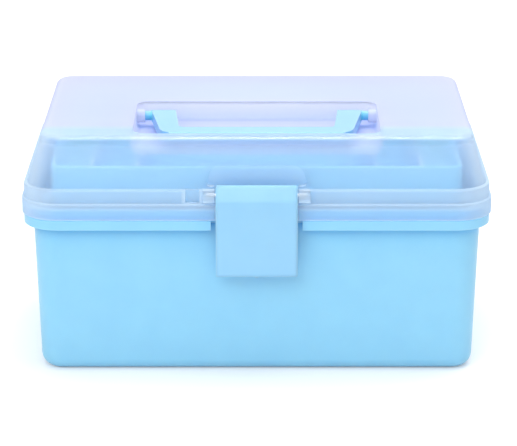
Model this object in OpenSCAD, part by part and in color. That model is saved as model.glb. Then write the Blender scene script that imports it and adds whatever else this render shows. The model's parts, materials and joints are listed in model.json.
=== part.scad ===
// Lidded art supply box with a folding handle, a front latch and two fold-out trays.
// X runs along the box, -Y is the front, Z is up; the origin is the centre of the underside.

/* [Box] */
// Length over the rim
rim_l = 329; // [300:1:360]
// Width over the rim, front to back
rim_w = 199; // [190:1:215]
// Height of the base up to the top of its rim
rim_h = 116; // [110:1:125]
// Wall thickness of the base
base_wall = 2.2; // [1.8:0.1:2.4]
// How far the base wall leans out from the floor to the rim
draft = 3.5; // [1:0.5:4]

/* [Lid] */
// Height of the lid above the rim
lid_h = 57.5; // [56:0.5:62]
// Wall thickness of the lid
lid_wall = 2; // [1.6:0.1:2.2]

/* [Handle] */
// Length over the handle's arms
handle_l = 154; // [140:1:158]
// Reach of the handle from its pivot to the front of the grip
handle_reach = 60; // [50:0.5:62]
// Front-to-back depth of the grip
grip_d = 15; // [12:1:18]
// Width of each handle arm at its pivot
handle_arm = 18; // [14:0.5:22]
// Thickness of the handle
handle_t = 8; // [6:0.5:9]

/* [Latch] */
// Width of the latch
latch_w = 57; // [44:1:57]
// Height of the latch below its pivot
latch_drop = 58; // [54:1:62]

/* [Trays] */
// Height of each tray
tray_h = 30; // [26:0.5:30]
// Wall and floor thickness of the trays
tray_wall = 1.8; // [1.5:0.1:2]
// Distance between neighbouring pivots on a tray arm
arm_pitch = 44; // [42:0.5:45]
// Rest angle of the tray arms above level
arm_rest = 12; // [11:0.5:13]

/* [Hidden] */
$fn = 64;
eps = 0.01;
far = 400;
run_gap = 0.05;

shell_blue = [0.61, 0.855, 0.995];
trim_blue = [0.70, 0.91, 0.985];
milky = [0.86, 0.91, 0.99, 0.5];
steel = [0.75, 0.77, 0.8];

// The box's plan is a rounded rectangle: every wall is set out from its four corner centres
rim_r = 25.5;
cx = rim_l / 2 - rim_r;
cy = rim_w / 2 - rim_r;

// Base wall and rim, as distances out from the corner centres
wall_r = 19;
foot_r = wall_r - draft;
foot_fillet = 9.5;
rim_t = 2;
lip_z = rim_h - 7.5;
ridge_r = [21, 23];
ridge_h = 8;
rim_gap_w = latch_w + 7;

// Lid steps, from the skirt up to the flat top
skirt_r = 26.6;
band_r = 25;
slope_r = 22.5;
top_r = 12;
lid_z = rim_h + 0.3;
skirt_z = rim_h + 11.5;
band_z = rim_h + 21.5;
top_z = rim_h + lid_h;
top_fillet = 5;

// Handle well, sunk in the lid's top, and the handle's pivot
well_l = handle_l + 20;
well_y = [-cy - 5, 7];
well_r = 9;
well_z = top_z - 14;
well_fillet = 2.5;
well_cx = well_l / 2 - well_r;
well_cy = (well_y[1] - well_y[0]) / 2 - well_r;
well_mid = (well_y[0] + well_y[1]) / 2;
handle_y = -10;
handle_z = top_z - 6;
handle_taper = [10, 4];
handle_pin_r = 3.5;
handle_bore_x = well_l / 2 + lid_wall + 1;
handle_boss_r = 5;
handle_boss_x = handle_l / 2 + 4;

// Latch pivot, its pocket in the lid's front and its catch on the base
latch_y = -cy - 27;
latch_z = rim_h + 19;
latch_face = latch_y - 6.5;
latch_t = 2.4;
latch_top = latch_z + 7.6;
latch_gap = 0.7;
ear_t = 8;
ear_r = 3.9;
pocket_x = [latch_w / 2 + latch_gap, latch_w / 2 + 7, latch_w / 2 + 3];
pocket_y = -cy - 17.5;
pocket_z = [rim_h + 12.3, rim_h + 23.5, rim_h + 37.5];
notch_x = [-latch_w / 2 - 21, -latch_w / 2 - 11.5];
notch_depth = 2.3;
latch_pin_end = pocket_x[0] + ear_t - 2;
hook_z = rim_h - 19.3;
hook_t = 3.1;
hook_w = latch_w - 13;
rib_t = 2;
hub_r = 3.6;

// Rear hinges
hinge_y = cy + 30.5;
hinge_z = rim_h + 1;
knuckle_r = 3.5;
pin_r = 1.5;
hinge_x = cx - 44;
knuckle_half = 8;
knuckle_side = 8;
side_gap = 0.2;

// Trays, measured over their outer walls
tray_x = cx + 5;
tray_y = [-cy - 12, cy - 12];
tray_r = 8;
tray_fillet = 4;
upper_z = rim_h + 5;
lower_z = upper_z - tray_h - 1.5;
slot_depth = 2.5;
slot_rib = 1.2;
divider_t = 1.5;
divider_gap = 0.15;
upper_dividers = [28 - tray_x, 60 - tray_x, tray_x - 60, tray_x - 28];
lower_dividers = [-tray_x / 2, 0, tray_x / 2];

// Tray arms: two parallel bars each side, with pivots on the base, lower tray and upper tray
arm_x = tray_x + 2.5;
arm_t = 3;
arm_w = 9;
rivet_r = 2;
rivet_head = 3.5;
head_t = 1.3;
arm_z = upper_z + 4 - 2 * arm_pitch * sin(arm_rest);
rear_pivot = cy - 4;
front_pivot = rear_pivot - 60;
boss_r = 5;
play = 0.1;
head_x = arm_x + arm_t + play;
base_rivet_x = cx + wall_r - base_wall - 0.5;

function unit(v) = v / norm(v);

// Arc that rounds the corner at b, between a and c
function fillet(a, b, c, r, n = 7) =
    let (u = unit(a - b), v = unit(c - b), h = acos(u * v) / 2)
    let (o = b + unit(u + v) * r / sin(h), s = b + u * r / tan(h) - o, e = b + v * r / tan(h) - o)
    let (t = atan2(s.y, s.x), dt = atan2(s.x * e.y - s.y * e.x, s * e))
    [for (i = [0 : n]) o + r * [cos(t + dt * i / n), sin(t + dt * i / n)]];

// Closed outline through corners given as [x, y, rounding radius]
function rounded(p) =
    let (n = len(p))
    [for (i = [0 : n - 1])
        let (q = [for (k = [n - 1 : n + 1]) [p[(i + k) % n].x, p[(i + k) % n].y]])
        each (p[i].z > 0 ? fillet(q[0], q[1], q[2], p[i].z) : [q[1]])];

// Position of pivot k (0 base, 1 lower tray, 2 upper tray) of the arm that starts at y
function pivot(y, k) = [y - k * arm_pitch * cos(arm_rest), arm_z + k * arm_pitch * sin(arm_rest)];

// Sweeps a wall profile round a rounded rectangle whose corner centres are at +-hx, +-hy
module around(hx, hy) {
    for (mx = [0, 1], my = [0, 1])
        mirror([mx, 0, 0]) mirror([0, my, 0])
            translate([hx, hy, 0]) rotate_extrude(angle = 90) children();
    for (mx = [0, 1])
        mirror([mx, 0, 0]) translate([hx, hy, 0]) rotate([90, 0, 0]) linear_extrude(2 * hy) children();
    for (my = [0, 1])
        mirror([0, my, 0]) translate([-hx, hy, 0]) rotate([90, 0, 90]) linear_extrude(2 * hx) children();
}

// The same sweep with its middle filled from z0 to z1
module filled(hx, hy, z0, z1) {
    around(hx, hy) children();
    translate([-hx, -hy, z0]) cube([2 * hx, 2 * hy, z1 - z0]);
}

module both_sides() {
    children();
    mirror([1, 0, 0]) children();
}

// Block between two opposite corners
module block(a, b) {
    translate(a) cube(b - a);
}

// Rod along X from x0 to x1, at p = [y, z]
module rod(x0, x1, p, r) {
    translate([x0, p[0], p[1]]) rotate([0, 90, 0]) cylinder(h = x1 - x0, r = r);
}

// Extrudes a [y, z] outline along X from x0 to x1
module along_x(x0, x1) {
    translate([x0, 0, 0]) rotate([90, 0, 90]) linear_extrude(x1 - x0) children();
}

/* ---- Base ---- */

module base_profile() {
    in_foot = foot_r - base_wall;
    in_wall = wall_r - base_wall;
    polygon(rounded([
        [0, 0, 0], [foot_r, 0, foot_fillet], [wall_r, rim_h - rim_t, 0.8],
        [rim_r - rim_t, rim_h - rim_t, 0.6], [rim_r - rim_t, lip_z, 0.6], [rim_r, lip_z, 0.8],
        [rim_r, rim_h, 1], [ridge_r[1], rim_h, 0.4], [ridge_r[1], rim_h + ridge_h, 0.7],
        [ridge_r[0], rim_h + ridge_h, 0.7], [ridge_r[0], rim_h, 0.4], [in_wall, rim_h, 0.8],
        [in_foot, base_wall, foot_fillet - base_wall], [0, base_wall, 0]]));
}

// Catch ridge under the rim that the latch hooks beneath
module catch() {
    y0 = -cy - wall_r + 1;
    tip = latch_y + 2.5;
    z0 = hook_z + 0.3;
    along_x(-hook_w / 2, hook_w / 2) polygon(rounded([
        [y0, z0, 0], [tip, z0, 0.5], [tip, z0 + 2, 1.2], [y0, z0 + 5, 0]]));
}

// Two outer knuckles of one hinge, on a leaf that grows out of the rim
module base_knuckles(x) {
    a = knuckle_half + side_gap;
    for (s = [-1, 1]) {
        x0 = x + (s > 0 ? a : -a - knuckle_side);
        rod(x0, x0 + knuckle_side, [hinge_y, hinge_z], knuckle_r);
        along_x(x0, x0 + knuckle_side) polygon([
            [cy + rim_r - 1, rim_h - 6], [cy + rim_r - 1, rim_h - 0.2], [hinge_y, rim_h - 0.2],
            [hinge_y + 2.2, hinge_z - 2.4], [cy + rim_r + 2, rim_h - 6]]);
    }
}

module base() {
    color(shell_blue) difference() {
        union() {
            filled(cx, cy, 0, base_wall) base_profile();
            catch();
            for (x = [-hinge_x, hinge_x]) base_knuckles(x);
            both_sides() for (y = [rear_pivot, front_pivot])
                rod(head_x, cx + wall_r - 1, pivot(y, 0), boss_r);
        }
        block([-rim_gap_w / 2, -far, lip_z - 1], [rim_gap_w / 2, -cy - ridge_r[1] - 0.2, rim_h + 1]);
        for (x = [-hinge_x, hinge_x]) rod(x - 20, x + 20, [hinge_y, hinge_z], pin_r);
        both_sides() for (y = [rear_pivot, front_pivot])
            rod(head_x - 1, base_rivet_x + 0.2, pivot(y, 0), rivet_r);
    }
}

/* ---- Lid ---- */

// Outer corners of the lid wall; t sets the surface back by a wall thickness
module lid_solid_profile(t, z0) {
    lean = (slope_r - top_r) / (top_z - band_z);
    polygon(rounded([
        [0, z0, 0], [skirt_r - t, z0, 0],
        [skirt_r - t, skirt_z - t / 2, 0.8], [band_r - t, skirt_z + 0.8 - t / 2, 0.3],
        [band_r - t, band_z - t / 2, 0.8], [slope_r - t, band_z + 0.7 - t / 2, 0.3],
        [top_r - t * (1 - lean), top_z - t, top_fillet - t], [0, top_z - t, 0]]));
}

module lid_solid(t) {
    z0 = lid_z - (t > 0 ? 1 : 0);
    filled(cx, cy, z0, top_z - t) lid_solid_profile(t, z0);
}

// Handle well; g = 0 gives the hollow and g = lid_wall the tub round it
module well(g) {
    z0 = well_z - g;
    z1 = g > 0 ? top_z - eps : top_z + 1;
    translate([0, well_mid, 0]) filled(well_cx, well_cy, z0, z1)
        polygon(rounded([[0, z0, 0], [well_r + g, z0, well_fillet + g], [well_r + g, z1, 0], [0, z1, 0]]));
}

// Bosses on the well's end walls that carry the handle's pins
module handle_bosses() {
    both_sides() rod(handle_boss_x, well_l / 2 + 1, [handle_y, handle_z], handle_boss_r);
}

// Pocket behind the latch, wider above the ears; g = 0 gives the hollow and g = lid_wall its wall
module pocket(g) {
    right = [
        [pocket_x[0] + g, pocket_z[0] - g, 0], [pocket_x[0] + g, pocket_z[1] - g, 0.8],
        [pocket_x[1] + g, pocket_z[1] + 1 - g, 2 + g / 2], [pocket_x[2] + g, pocket_z[2] + g, 7 + g]];
    left = [for (i = [3 : -1 : 0]) [-right[i].x, right[i].y, right[i].z]];
    translate([0, pocket_y + g, 0]) rotate([90, 0, 0]) linear_extrude(far)
        polygon(rounded(concat(right, left)));
}

// Small square notch beside the pocket; g grows it as above
module notch(g) {
    back = -cy - band_r + notch_depth;
    block([notch_x[0] - g, -far, skirt_z + 1.2 - g], [notch_x[1] + g, back + g, band_z + 0.4 + g]);
}

// Ears beside the pocket that hold the latch pin
module ears() {
    x0 = pocket_x[0];
    y0 = -cy - band_r + 1;
    both_sides() along_x(x0, x0 + ear_t) polygon(rounded([
        [latch_y - ear_r, latch_z - ear_r - 1, ear_r - 0.3], [latch_y - ear_r, latch_z + ear_r, ear_r - 0.3],
        [y0, latch_z + ear_r, 0], [y0, latch_z - ear_r - 2, 0]]));
}

// Centre knuckle of one hinge, with its leaf
module lid_knuckle(x) {
    x0 = x - knuckle_half;
    x1 = x + knuckle_half;
    rod(x0, x1, [hinge_y, hinge_z], knuckle_r);
    along_x(x0, x1) polygon([
        [cy + skirt_r - 1, hinge_z + 0.3], [hinge_y, hinge_z + 0.3], [hinge_y + 1.5, hinge_z + 3.1],
        [cy + skirt_r - 1, hinge_z + 8]]);
}

// Lid wall with the walls of the pocket and notch, the ears and the knuckles
module lid_shell() {
    difference() {
        lid_solid(0);
        lid_solid(lid_wall);
    }
    intersection() {
        lid_solid(0);
        union() {
            pocket(lid_wall);
            notch(lid_wall);
        }
    }
    ears();
    for (x = [-hinge_x, hinge_x]) lid_knuckle(x);
}

module lid() {
    color(milky) difference() {
        union() {
            difference() {
                union() {
                    lid_shell();
                    well(lid_wall);
                }
                well(0);
            }
            handle_bosses();
        }
        pocket(0);
        notch(0);
        rod(-handle_bore_x, handle_bore_x, [handle_y, handle_z], handle_pin_r + run_gap);
        for (x = [-hinge_x, hinge_x]) rod(x - 20, x + 20, [hinge_y, hinge_z], pin_r + run_gap);
        rod(-latch_pin_end, latch_pin_end, [latch_y, latch_z], pin_r);
    }
}

/* ---- Handle ---- */

module handle() {
    x = handle_l / 2;
    xi = x - handle_arm;
    xf = x - handle_taper[0];
    xg = xi - handle_taper[1];
    h = handle_t / 2;
    back = handle_y + h;
    front = handle_y - handle_reach;
    color(trim_blue) union() {
        intersection() {
            translate([0, 0, handle_z - handle_t]) linear_extrude(2 * handle_t) polygon(rounded([
                [-x, back, 2], [-xf, front, 13], [xf, front, 13], [x, back, 2], [xi, back, 2],
                [xg, front + grip_d, 4], [-xg, front + grip_d, 4], [-xi, back, 2]]));
            along_x(-x, x) polygon(rounded([
                [back, handle_z - h, h - 0.1], [front, handle_z - h, 2.8],
                [front, handle_z + h, 2.8], [back, handle_z + h, h - 0.1]]));
        }
        both_sides() rod(x - 5, handle_bore_x + 1.5, [handle_y, handle_z], handle_pin_r);
    }
}

/* ---- Latch ---- */

module latch() {
    w = latch_w / 2;
    bottom = latch_z - latch_drop;
    inner = latch_face + latch_t;
    color(trim_blue) difference() {
        union() {
            intersection() {
                along_x(-w, w) polygon(rounded([
                    [latch_face, bottom, 1], [latch_face, latch_z - 3.3, 1.5],
                    [latch_y - 1.9, latch_top, 1.6], [latch_y + 0.2, latch_top, 0.5],
                    [inner + 0.3, latch_z - 4, 3], [inner, bottom + 2, 0], [inner - 1, bottom, 0]]));
                translate([0, latch_y + 10, 0]) rotate([90, 0, 0]) linear_extrude(20) polygon(rounded([
                    [-w, bottom, 1.5], [w, bottom, 1.5], [w, latch_top, 1.5], [-w, latch_top, 1.5]]));
            }
            block([-1.2, latch_face + 0.7, bottom - 0.6], [1.2, inner - 0.5, bottom + 1]);
            rod(-w, w, [latch_y, latch_z], hub_r);
            latch_ribs(w, bottom, inner);
        }
        rod(-far / 2, far / 2, [latch_y, latch_z], pin_r + run_gap);
    }
}

// Stiffening ribs down the inside, and the shelf that hooks under the catch
module latch_ribs(w, bottom, inner) {
    for (x = [-w, -w / 3 - rib_t / 2, w / 3 - rib_t / 2, w - rib_t])
        along_x(x, x + rib_t) polygon([
            [inner - 1, bottom + 4], [latch_y + 0.4, bottom + 8], [latch_y + 0.4, rim_h - 1],
            [latch_y - 1.6, rim_h + 2], [latch_y - 1.6, latch_z - 1], [inner - 1, latch_z - 1]]);
    along_x(-hook_w / 2, hook_w / 2) polygon(rounded([
        [inner - 1, hook_z - hook_t - 2.5, 0], [inner, hook_z - hook_t - 2.5, 0],
        [latch_y + 4, hook_z - 1.6, 0.6], [latch_y + 4, hook_z, 0.4], [inner - 1, hook_z, 0]]));
}

/* ---- Pins and rivets ---- */

module latch_pin() {
    color(steel) rod(-latch_pin_end, latch_pin_end, [latch_y, latch_z], pin_r);
}

module hinge_pin(x) {
    end = knuckle_half + side_gap + knuckle_side;
    color(steel) rod(x - end, x + end, [hinge_y, hinge_z], pin_r);
}

// Rivets through the arms' base pivots, headed on the inside
module base_pivot_rivets() {
    color(trim_blue) both_sides() for (y = [rear_pivot, front_pivot]) {
        rod(arm_x - play, base_rivet_x, pivot(y, 0), rivet_r);
        rod(arm_x - play - head_t, arm_x - play, pivot(y, 0), rivet_head);
    }
}

// Rivets that hold a tray (k = 1 lower, 2 upper) to its four arms, headed on the outside
module tray_rivets(k) {
    color(trim_blue) both_sides() for (y = [rear_pivot, front_pivot]) {
        rod(tray_x - tray_wall - 0.3, head_x, pivot(y, k), rivet_r);
        rod(head_x, head_x + head_t, pivot(y, k), rivet_head);
    }
}

/* ---- Trays, arms and dividers ---- */

// Straight bar through the three pivots, on the +X side
module arm(y) {
    a = pivot(y, 0);
    b = pivot(y, 2);
    u = unit(b - a);
    n = [-u.y, u.x];
    h = arm_w / 2;
    ends = [a - h * u - h * n, b + h * u - h * n, b + h * u + h * n, a - h * u + h * n];
    color(trim_blue) difference() {
        along_x(arm_x, arm_x + arm_t) polygon(rounded([for (p = ends) [p.x, p.y, h - 0.1]]));
        for (k = [0 : 2]) rod(arm_x - 1, arm_x + arm_t + 1, pivot(y, k), rivet_r + run_gap);
    }
}

// Pair of small ribs on each long wall that hold a divider at x
module divider_slots(x, z0) {
    a = divider_t / 2 + divider_gap;
    reach = tray_wall + slot_depth;
    z1 = z0 + tray_h - 3;
    for (x0 = [x - a - slot_rib, x + a]) {
        block([x0, tray_y[0] + 1, z0 + 1], [x0 + slot_rib, tray_y[0] + reach, z1]);
        block([x0, tray_y[1] - reach, z0 + 1], [x0 + slot_rib, tray_y[1] - 1, z1]);
    }
}

// Open tray with its floor at z0, pivots k and dividers at the given places
module tray(z0, k, dividers) {
    z1 = z0 + tray_h;
    hy = (tray_y[1] - tray_y[0]) / 2 - tray_r;
    ri = tray_r - tray_wall;
    color(shell_blue) difference() {
        union() {
            translate([0, (tray_y[0] + tray_y[1]) / 2, 0])
                filled(tray_x - tray_r, hy, z0, z0 + tray_wall) polygon(rounded([
                    [0, z0, 0], [tray_r, z0, tray_fillet], [tray_r, z1, 0.7], [ri - 0.8, z1, 0.7],
                    [ri - 0.8, z1 - 2, 0.4], [ri, z1 - 3, 0.4],
                    [ri, z0 + tray_wall, tray_fillet - tray_wall], [0, z0 + tray_wall, 0]]));
            both_sides() for (y = [rear_pivot, front_pivot])
                rod(tray_x - tray_wall, arm_x - play, pivot(y, k), rivet_head);
            for (x = dividers) divider_slots(x, z0);
        }
        both_sides() for (y = [rear_pivot, front_pivot])
            rod(tray_x - tray_wall - 1, arm_x + 1, pivot(y, k), rivet_r);
    }
}

// Removable divider plate at x, standing in a tray whose floor is at z0
module divider(x, z0) {
    y0 = tray_y[0] + tray_wall + 0.9;
    y1 = tray_y[1] - tray_wall - 0.9;
    zb = z0 + tray_wall + 0.1;
    zt = z0 + tray_h - 1.5;
    color(trim_blue) along_x(x - divider_t / 2, x + divider_t / 2) polygon(rounded([
        [y0, zb, 3], [y1, zb, 3], [y1, zt, 1], [y1 - 40, zt, 3], [y1 - 46, zt - 6, 5],
        [y0 + 46, zt - 6, 5], [y0 + 40, zt, 3], [y0, zt, 1]]));
}

base();
lid();
handle();
latch();
latch_pin();
hinge_pin(-hinge_x);  // hinge_pin_left
hinge_pin(hinge_x);  // hinge_pin_right
tray(lower_z, 1, lower_dividers);  // lower_tray
tray(upper_z, 2, upper_dividers);  // upper_tray
mirror([1, 0, 0]) arm(front_pivot);  // front_arm_left
arm(front_pivot);  // front_arm_right
mirror([1, 0, 0]) arm(rear_pivot);  // rear_arm_left
arm(rear_pivot);  // rear_arm_right
base_pivot_rivets();
tray_rivets(1);  // lower_tray_rivets
tray_rivets(2);  // upper_tray_rivets
divider(upper_dividers[0], upper_z);  // upper_divider_1
divider(upper_dividers[1], upper_z);  // upper_divider_2
divider(upper_dividers[2], upper_z);  // upper_divider_3
divider(upper_dividers[3], upper_z);  // upper_divider_4
divider(lower_dividers[0], lower_z);  // lower_divider_1
divider(lower_dividers[1], lower_z);  // lower_divider_2
divider(lower_dividers[2], lower_z);  // lower_divider_3
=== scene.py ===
"""Art supply box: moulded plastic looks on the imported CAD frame."""

import json
import math

import bpy
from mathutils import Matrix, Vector


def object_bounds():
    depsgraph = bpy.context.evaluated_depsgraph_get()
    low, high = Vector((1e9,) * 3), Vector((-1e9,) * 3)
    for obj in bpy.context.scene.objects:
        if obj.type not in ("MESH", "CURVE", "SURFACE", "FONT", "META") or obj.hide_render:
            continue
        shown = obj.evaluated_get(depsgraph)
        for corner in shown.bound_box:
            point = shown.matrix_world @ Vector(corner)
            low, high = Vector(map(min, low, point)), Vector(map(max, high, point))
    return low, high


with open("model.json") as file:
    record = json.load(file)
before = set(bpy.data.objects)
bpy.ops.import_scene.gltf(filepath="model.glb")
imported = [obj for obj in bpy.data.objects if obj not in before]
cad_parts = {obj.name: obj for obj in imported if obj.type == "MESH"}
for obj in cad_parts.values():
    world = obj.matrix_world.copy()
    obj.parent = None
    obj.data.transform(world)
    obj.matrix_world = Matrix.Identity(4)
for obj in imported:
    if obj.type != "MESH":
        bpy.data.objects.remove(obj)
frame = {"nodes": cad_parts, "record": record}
CAD_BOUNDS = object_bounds()
NODES = frame["nodes"]

# Camera: the height it aims at, its distance and elevation, and how far its picture is shifted
AIM_Z = 0.075
DISTANCE = 1.7
ELEVATION = math.radians(18.24)
LENS = 159.1
SHIFT = (0.0035, 0.0174)

# Regions of the lid, in metres in the CAD frame. A pair marked "fades" runs from none to full.
TOP_Z = CAD_BOUNDS[1][2]
BAND_Z = (0.1275, 0.1375)
SKIRT_Z = (BAND_Z[0], BAND_Z[0] - 0.001)  # fades
LOWER_EDGE_Z = (BAND_Z[0] - 0.0094, BAND_Z[0] - 0.0104)  # fades
LEDGE_Z = (BAND_Z[0] - 0.0040, BAND_Z[0] + 0.0008)
SIDE_X = (0.138, 0.156)  # fades
FRONT_Y = (-0.094, -0.096)  # fades
FLAT_Z = (TOP_Z - 0.003, TOP_Z - 0.001)  # fades
FLAT_Y = (-0.058, -0.035)  # fades
CREASE_Z = (TOP_Z - 0.007, TOP_Z - 0.005)  # fades
CREASE_Y = (-0.040, -0.068)  # fades

# The handle's well: its underside, floor, end walls, front and back
WELL_Z = (TOP_Z - 0.0185, TOP_Z - 0.0160)  # fades
# Height where the well's lighter wall tint, which is painted light, gives way to its floor tint
WELL_FLOOR_Z = (TOP_Z - 0.0120, TOP_Z - 0.0138)  # fades
WELL_X = (0.093, 0.090)  # fades
WELL_FRONT_Y = (-0.070, -0.058)  # fades
WELL_BACK_Y = (0.013, 0.010)  # fades

# The back wall of the latch's pocket, the notch beside it with its frame, and the ears that hold the pin
POCKET_X = (0.037, 0.035)  # fades
POCKET_Y = (-0.093, -0.087)
POCKET_Z = (0.127, 0.150)
NOTCH_X = (-0.0495, -0.0400)
NOTCH_Z = (BAND_Z[0] + 0.0010, BAND_Z[0] + 0.0014)  # fades
NOTCH_FRAME_X = (-0.0520, -0.0375)
NOTCH_FRAME_Z = (BAND_Z[0] - 0.001, BAND_Z[1] + 0.001)
EAR_X = (0.0288, 0.0372)
EAR_Z = (0.1290, 0.1395)

# Haze of the lid's plain wall, and what each region adds to it; the ears take a share of END_HAZE
WALL_HAZE = 0.22
BAND_HAZE = 0.34
SKIRT_HAZE = 0.06
SIDE_HAZE = 0.25
TOP_HAZE = 0.22
WELL_HAZE = 0.42
POCKET_HAZE = 0.40
END_HAZE = 0.38
EAR_SHARE = 0.35

# Haze along the lid's edges, and the share of rays that go straight through its front crease
EDGE_HAZE = 0.5
CREASE_CLEAR = 0.55

# Brightness of the studio's surroundings as a light
SKY = 0.60


def srgb(r, g, b):
    """Scene-linear colour for an 8-bit sRGB colour."""
    def one(v):
        v /= 255
        return v / 12.92 if v <= 0.04045 else ((v + 0.055) / 1.055) ** 2.4
    return (one(r), one(g), one(b), 1.0)


class Nodes:
    """Small helper for building a node material."""

    def __init__(self, name):
        self.material = bpy.data.materials.new(name)
        self.material.use_nodes = True
        self.tree = self.material.node_tree
        self.tree.nodes.clear()

    def add(self, kind, inputs=None, **settings):
        node = self.tree.nodes.new(kind)
        for key, value in settings.items():
            setattr(node, key, value)
        for key, value in (inputs or {}).items():
            if isinstance(value, bpy.types.NodeSocket):
                self.tree.links.new(value, node.inputs[key])
            else:
                node.inputs[key].default_value = value
        return node

    def math(self, operation, a, b=0.0, c=0.0):
        return self.add("ShaderNodeMath", {0: a, 1: b, 2: c}, operation=operation).outputs[0]

    def mix(self, factor, a, b):
        node = self.add("ShaderNodeMix", data_type="RGBA")
        for socket, value in ((0, factor), (6, a), (7, b)):
            if isinstance(value, bpy.types.NodeSocket):
                self.tree.links.new(value, node.inputs[socket])
            else:
                node.inputs[socket].default_value = value
        return node.outputs[2]

    def ramp(self, value, lo, hi, to_lo=0.0, to_hi=1.0):
        return self.add("ShaderNodeMapRange", {0: value, 1: lo, 2: hi, 3: to_lo, 4: to_hi}).outputs[0]

    def between(self, value, lo, hi, soft=0.0006):
        """1 where value is between lo and hi, with soft ends."""
        return self.product(
            self.ramp(value, lo - soft, lo + soft), self.ramp(value, hi + soft, hi - soft))

    def product(self, first, *others):
        for other in others:
            first = self.math("MULTIPLY", first, other)
        return first


def moulding(n, speck=2600.0, mark=45.0, depth=0.00002, edge=0.0005):
    """Moulding grain, flow marks and rounded edges: returns (normal, broad noise, fine noise)."""
    place = n.add("ShaderNodeTexCoord").outputs["Object"]
    fine = n.add("ShaderNodeTexNoise", {"Vector": place, "Scale": speck, "Detail": 3.0}).outputs[0]
    broad = n.add("ShaderNodeTexNoise", {"Vector": place, "Scale": mark, "Detail": 4.0}).outputs[0]
    height = n.math("MULTIPLY_ADD", broad, 3.0, fine)
    rounded = n.add("ShaderNodeBevel", {"Radius": edge}, samples=4).outputs[0]
    bump = n.add("ShaderNodeBump", {
        "Strength": 0.35, "Distance": depth, "Height": height, "Normal": rounded})
    return bump.outputs[0], broad, fine


def edge_closeness(n, radius=0.0012):
    """0 on flat faces, rising towards 1 along edges."""
    bevel = n.add("ShaderNodeBevel", {"Radius": radius}, samples=4).outputs[0]
    normal = n.add("ShaderNodeNewGeometry").outputs["Normal"]
    along = n.add("ShaderNodeVectorMath", {0: bevel, 1: normal}, operation="DOT_PRODUCT").outputs["Value"]
    return n.ramp(along, 0.995, 0.90)


def plastic(name, color, shade, roughness=0.34, corner=(62, 188, 246), edge=0.0005):
    """Satin moulded polypropylene: a little light goes in and scatters back out.

    Where ambient occlusion finds near faces, the colour turns towards corner: painted shade and painted
    blue bounce light in gaps, corners and under the flange, or painted light where corner is the lighter
    colour.
    Edges get a painted highlight towards near white.
    """
    n = Nodes(name)
    normal, broad, fine = moulding(n, edge=edge)
    painted_edge_highlight = edge_closeness(n)
    occlusion_for_painted_shade = n.add("ShaderNodeAmbientOcclusion", {"Distance": 0.03}, samples=6, only_local=True)
    base = n.mix(n.ramp(broad, 0.35, 0.65), srgb(*color), srgb(*shade))
    # Painted shade: the colour turns towards the corner colour where ambient occlusion finds near faces
    base = n.mix(n.ramp(occlusion_for_painted_shade.outputs["AO"], 1.0, 0.35), base, srgb(*corner))
    # Painted highlight: edges turn up to a quarter of the way towards near white
    with_painted_highlight = n.mix(n.math("MULTIPLY", painted_edge_highlight, 0.25), base, srgb(236, 248, 255))
    rough = n.math("MULTIPLY_ADD", fine, 0.10, roughness - 0.05)
    bsdf = n.add("ShaderNodeBsdfPrincipled", {
        "Base Color": with_painted_highlight, "Roughness": rough, "Normal": normal, "IOR": 1.49,
        "Subsurface Weight": 0.35, "Subsurface Radius": (0.6, 0.9, 1.0), "Subsurface Scale": 0.002,
        "Coat Weight": 0.12, "Coat Roughness": 0.18})
    n.add("ShaderNodeOutputMaterial", {"Surface": bsdf.outputs[0]})
    return n.material


def lid_regions(n):
    """What differs from place to place on the lid: returns (haze, tint, how clear the front crease is).
    The tint holds painted light: the well's walls are tinted lighter than its floor.

    Walls seen end-on are the whitest: the lower edge, the ledge under the band, the frame of the small
    notch and the two ears that hold the latch pin.
    """
    spot = n.add("ShaderNodeSeparateXYZ", {"Vector": n.add("ShaderNodeTexCoord").outputs["Object"]})
    x, y, z = (spot.outputs[axis] for axis in "XYZ")
    aside = n.math("ABSOLUTE", x)

    upper = n.product(n.ramp(z, *WELL_Z), n.ramp(y, *WELL_FRONT_Y))
    flat = n.product(n.ramp(z, *FLAT_Z), n.ramp(y, *FLAT_Y))
    top = n.math("MAXIMUM", upper, flat)
    well = n.product(
        upper, n.ramp(aside, *WELL_X), n.ramp(y, *WELL_BACK_Y), n.ramp(z, *FLAT_Z[::-1]))
    pocket = n.product(
        n.ramp(aside, *POCKET_X), n.between(z, *POCKET_Z, 0.004), n.between(y, *POCKET_Y, 0.0005))
    ends = n.math("MAXIMUM", n.ramp(z, *LOWER_EDGE_Z), n.between(z, *LEDGE_Z))
    inside = n.product(n.between(x, *NOTCH_X), n.ramp(z, *NOTCH_Z))
    around = n.product(
        n.between(x, *NOTCH_FRAME_X), n.between(z, *NOTCH_FRAME_Z), n.math("SUBTRACT", 1.0, inside))
    ears = n.product(n.between(aside, *EAR_X), n.between(z, *EAR_Z), EAR_SHARE)
    front = n.product(n.math("MAXIMUM", around, ears), n.ramp(y, *FRONT_Y))

    haze = WALL_HAZE
    for region, extra in (
            (n.between(z, *BAND_Z), BAND_HAZE),
            (n.ramp(z, *SKIRT_Z), SKIRT_HAZE),
            (n.ramp(aside, *SIDE_X), SIDE_HAZE),
            (top, TOP_HAZE),
            (well, WELL_HAZE),
            (pocket, POCKET_HAZE),
            (n.math("MAXIMUM", ends, front), END_HAZE)):
        haze = n.math("MULTIPLY_ADD", region, extra, haze)

    # Painted light: the well's walls take a lighter tint than its floor, to lift the shade they stand in
    well_tint_with_painted_light = n.mix(n.ramp(z, *WELL_FLOOR_Z), srgb(246, 242, 255), srgb(228, 224, 250))
    tint = n.mix(well, n.mix(top, srgb(224, 242, 255), srgb(231, 230, 251)), well_tint_with_painted_light)
    crease = n.product(n.ramp(z, *CREASE_Z), n.ramp(y, *CREASE_Y), CREASE_CLEAR)
    return haze, tint, crease


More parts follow.
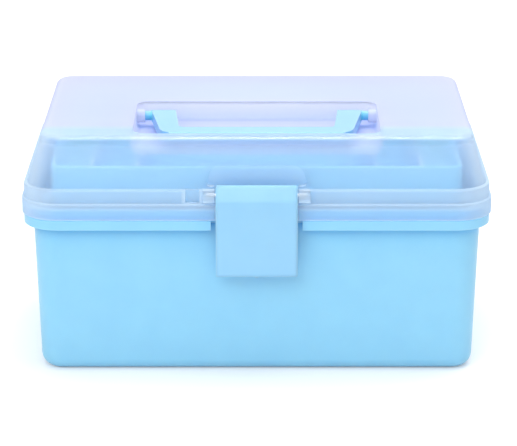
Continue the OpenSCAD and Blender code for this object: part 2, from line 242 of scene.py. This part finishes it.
def milky(name, rough=0.3):
    """Milky polypropylene: the view bends and blurs in its satin skin, and its body scatters white light.

    Haze grows with the path through the wall, so a face seen edge-on looks whiter, and edges are the
    whitest. It counts once per wall, on the side where a ray enters. Shadow and bounce rays go straight
    through, which keeps the inside evenly lit, and so do most rays at the front crease, which would
    otherwise glare.
    """
    n = Nodes(name)
    normal, broad, fine = moulding(n, mark=30.0, depth=0.000008)
    haze, tint, crease = lid_regions(n)
    geometry = n.add("ShaderNodeNewGeometry")
    facing = n.add("ShaderNodeVectorMath", {
        0: geometry.outputs["Normal"], 1: geometry.outputs["Incoming"]}, operation="DOT_PRODUCT")
    cosine = n.math("MAXIMUM", n.math("ABSOLUTE", facing.outputs["Value"]), 0.12)
    clear = n.math("POWER", n.math("SUBTRACT", 1.0, haze), n.math("DIVIDE", 1.0, cosine))
    cloud = n.math("MULTIPLY_ADD", n.ramp(broad, 0.3, 0.7), 0.05, n.math("SUBTRACT", 1.0, clear))
    cloud = n.math("MAXIMUM", cloud, n.product(edge_closeness(n, 0.0014), EDGE_HAZE))
    entering = n.math("SUBTRACT", 1.0, geometry.outputs["Backfacing"])
    through = n.add("ShaderNodeBsdfTranslucent", {"Color": tint, "Normal": normal})
    matt = n.add("ShaderNodeBsdfDiffuse", {"Color": tint, "Normal": normal})
    body = n.add("ShaderNodeMixShader", {0: 0.55, 1: through.outputs[0], 2: matt.outputs[0]})
    glass = n.add("ShaderNodeBsdfGlass", {
        "Color": srgb(252, 253, 255), "Roughness": n.math("MULTIPLY_ADD", fine, 0.1, rough - 0.05),
        "IOR": 1.45, "Normal": normal})
    straight = n.add("ShaderNodeBsdfTransparent", {"Color": srgb(250, 252, 255)})
    path = n.add("ShaderNodeLightPath")
    indirect = n.math("MAXIMUM", path.outputs["Is Shadow Ray"], path.outputs["Is Diffuse Ray"])
    unbent = n.math("MAXIMUM", indirect, crease)
    view = n.add("ShaderNodeMixShader", {0: unbent, 1: glass.outputs[0], 2: straight.outputs[0]})
    out = n.add("ShaderNodeMixShader", {
        0: n.math("MULTIPLY", cloud, entering), 1: view.outputs[0], 2: body.outputs[0]})
    n.add("ShaderNodeOutputMaterial", {"Surface": out.outputs[0]})
    return n.material


def steel(name):
    """Drawn wire, with fine lines along its length."""
    n = Nodes(name)
    place = n.add("ShaderNodeTexCoord").outputs["Object"]
    lines = n.add("ShaderNodeMapping", {"Vector": place, "Scale": (40.0, 3000.0, 3000.0)}).outputs[0]
    grain = n.add("ShaderNodeTexNoise", {"Vector": lines, "Scale": 1.0, "Detail": 3.0}).outputs[0]
    bump = n.add("ShaderNodeBump", {"Strength": 0.3, "Distance": 0.00002, "Height": grain}).outputs[0]
    color = n.mix(grain, srgb(200, 204, 210), srgb(232, 235, 240))
    rough = n.ramp(grain, 0.3, 0.7, 0.22, 0.38)
    bsdf = n.add("ShaderNodeBsdfPrincipled", {
        "Base Color": color, "Metallic": 1.0, "Roughness": rough, "Normal": bump})
    n.add("ShaderNodeOutputMaterial", {"Surface": bsdf.outputs[0]})
    return n.material


def sharp_by_angle(limit):
    """Modifier group that marks edges steeper than limit as sharp and the others as smooth."""
    group = bpy.data.node_groups.new("sharp_by_angle", "GeometryNodeTree")
    for way in ("INPUT", "OUTPUT"):
        group.interface.new_socket("Geometry", in_out=way, socket_type="NodeSocketGeometry")
    source = group.nodes.new("NodeGroupInput")
    angle = group.nodes.new("GeometryNodeInputMeshEdgeAngle")
    gentle = group.nodes.new("FunctionNodeCompare")
    gentle.operation = "LESS_THAN"
    gentle.inputs[1].default_value = limit
    shade = group.nodes.new("GeometryNodeSetShadeSmooth")
    shade.domain = "EDGE"
    sink = group.nodes.new("NodeGroupOutput")
    group.links.new(source.outputs[0], shade.inputs["Geometry"])
    group.links.new(angle.outputs[0], gentle.inputs[0])
    group.links.new(gentle.outputs[0], shade.inputs["Shade Smooth"])
    group.links.new(shade.outputs[0], sink.inputs[0])
    return group


def smooth(obj, sharp):
    """Joins a CAD mesh's faces, and shades its rounds smooth, its flats flat and its corners sharp."""
    weld = obj.modifiers.new("weld", "WELD")
    weld.merge_threshold = 0.000002
    obj.modifiers.new("sharp", "NODES").node_group = sharp
    weighted = obj.modifiers.new("weighted_normals", "WEIGHTED_NORMAL")
    weighted.mode = "FACE_AREA"
    weighted.weight = 50
    weighted.keep_sharp = True
    for polygon in obj.data.polygons:
        polygon.use_smooth = True


def finish_nodes():
    """Gives every CAD node its material and smooth shading."""
    slots = {row["node"]: row["material_slot"] for row in frame["record"]["subparts"]}
    looks = {
        "base_blue": plastic("base_plastic", (152, 218, 253), (149, 215, 251)),
        # The tray's corner colour is lighter than its body: painted light in its hollows
        "tray_blue": plastic("tray_plastic", (156, 222, 253), (152, 219, 251), corner=(212, 250, 255)),
        "trim_blue": plastic("trim_plastic", (156, 213, 248), (153, 210, 246), roughness=0.3),
        "latch": plastic("latch_plastic", (156, 213, 248), (153, 210, 246), roughness=0.3, edge=0.004),
        # The handle's corner colour is a teal: painted shade on its pins and in its gaps
        "handle": plastic("handle_plastic", (143, 200, 241), (140, 197, 239), roughness=0.3,
                          corner=(70, 222, 236)),
        "divider_clear": plastic("divider_plastic", (196, 226, 252), (190, 222, 250)),
        "lid_milky": milky("lid_plastic"),
        "pin_steel": steel("drawn_steel"),
    }
    sharp = sharp_by_angle(math.radians(32))
    for name, node in NODES.items():
        node.data.materials.clear()
        node.data.materials.append(looks.get(name) or looks[slots[name]])
        smooth(node, sharp)


def soft_light(name, place, aim, size, power):
    """Large soft box that points at aim."""
    data = bpy.data.lights.new(name, "AREA")
    data.shape = "RECTANGLE"
    data.size, data.size_y = size
    data.energy = power
    lamp = bpy.data.objects.new(name, data)
    bpy.context.scene.collection.objects.link(lamp)
    lamp.location = place
    lamp.rotation_euler = (Vector(aim) - Vector(place)).to_track_quat("-Z", "Y").to_euler()


def pale_floor():
    """Plain pale floor that runs into the background."""
    bpy.ops.mesh.primitive_plane_add(size=40.0, location=(0, 0, CAD_BOUNDS[0][2]))
    floor = bpy.context.object
    floor.name = "floor"
    n = Nodes("floor_paper")
    seen = n.add("ShaderNodeLightPath").outputs["Is Camera Ray"]
    bsdf = n.add("ShaderNodeBsdfPrincipled", {
        "Base Color": (0.88, 0.88, 0.88, 1), "Roughness": 0.9, "Specular IOR Level": 0.1,
        "Emission Color": (1, 1, 1, 1), "Emission Strength": n.math("MULTIPLY", seen, 0.22)})
    n.add("ShaderNodeOutputMaterial", {"Surface": bsdf.outputs[0]})
    floor.data.materials.append(n.material)


def surroundings():
    """White world: at full brightness to the camera, in mirrors and through the lid, dimmer as a light."""
    world = bpy.data.worlds.new("studio")
    bpy.context.scene.world = world
    world.use_nodes = True
    tree = world.node_tree
    background = tree.nodes["Background"]
    background.inputs["Color"].default_value = (1, 1, 1, 1)
    path = tree.nodes.new("ShaderNodeLightPath")
    seen = path.outputs["Is Camera Ray"]
    for name in ("Is Glossy Ray", "Is Transmission Ray"):
        either = tree.nodes.new("ShaderNodeMath")
        either.operation = "MAXIMUM"
        tree.links.new(seen, either.inputs[0])
        tree.links.new(path.outputs[name], either.inputs[1])
        seen = either.outputs[0]
    level = tree.nodes.new("ShaderNodeMapRange")
    tree.links.new(seen, level.inputs[0])
    level.inputs[3].default_value = SKY
    level.inputs[4].default_value = 1.0
    tree.links.new(level.outputs[0], background.inputs["Strength"])


def studio():
    """Floor, surroundings, two soft lights and how far light is followed."""
    pale_floor()
    surroundings()
    soft_light("key", (-0.5, -1.3, 1.3), (0, 0, 0.08), (1.4, 1.0), 11)
    soft_light("top", (0.2, 0.3, 1.7), (0, 0, 0.1), (1.5, 1.5), 21)
    bpy.context.scene.view_settings.view_transform = "Standard"
    cycles = bpy.context.scene.cycles
    cycles.max_bounces = 20
    cycles.transmission_bounces = 20
    cycles.transparent_max_bounces = 24


def camera():
    """Long lens in front of the box, a little above it."""
    data = bpy.data.cameras.new("camera")
    data.lens = LENS
    data.sensor_width = 36
    data.shift_x, data.shift_y = SHIFT
    cam = bpy.data.objects.new("camera", data)
    bpy.context.scene.collection.objects.link(cam)
    cam.location = (0, -DISTANCE * math.cos(ELEVATION), AIM_Z + DISTANCE * math.sin(ELEVATION))
    cam.rotation_euler = (math.pi / 2 - ELEVATION, 0, 0)
    bpy.context.scene.camera = cam


finish_nodes()
studio()
camera()
